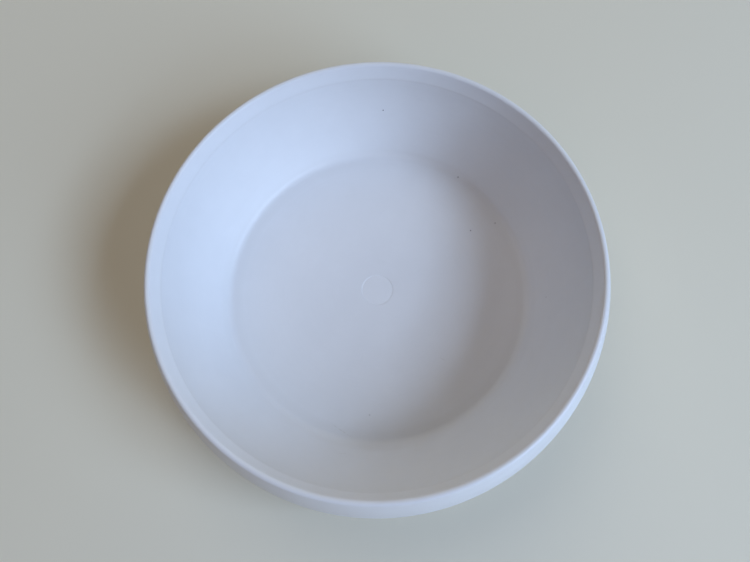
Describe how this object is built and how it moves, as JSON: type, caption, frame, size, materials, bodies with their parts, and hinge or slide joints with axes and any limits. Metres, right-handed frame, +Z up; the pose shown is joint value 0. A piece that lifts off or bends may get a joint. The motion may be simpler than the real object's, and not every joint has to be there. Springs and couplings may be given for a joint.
{
  "type": "evaporating dish",
  "caption": "Shallow round flat-bottomed evaporating dish, white plastic, with a rounded lip and a turned-down rim, moulded in one piece.",
  "frame": {"origin": "middle of the surface that the foot ring stands on, the bottom centre of the part's box", "axes": "+Z up along the dish's axis, out of its open mouth; X and Y are any two directions across the dish"},
  "size_m": [0.1598, 0.1598, 0.0414],
  "materials": {
    "dish_plastic": "satin white, as moulded"
  },
  "bodies": {
    "root": {"dish_body": "dish_plastic"}
  },
  "joints": []
}
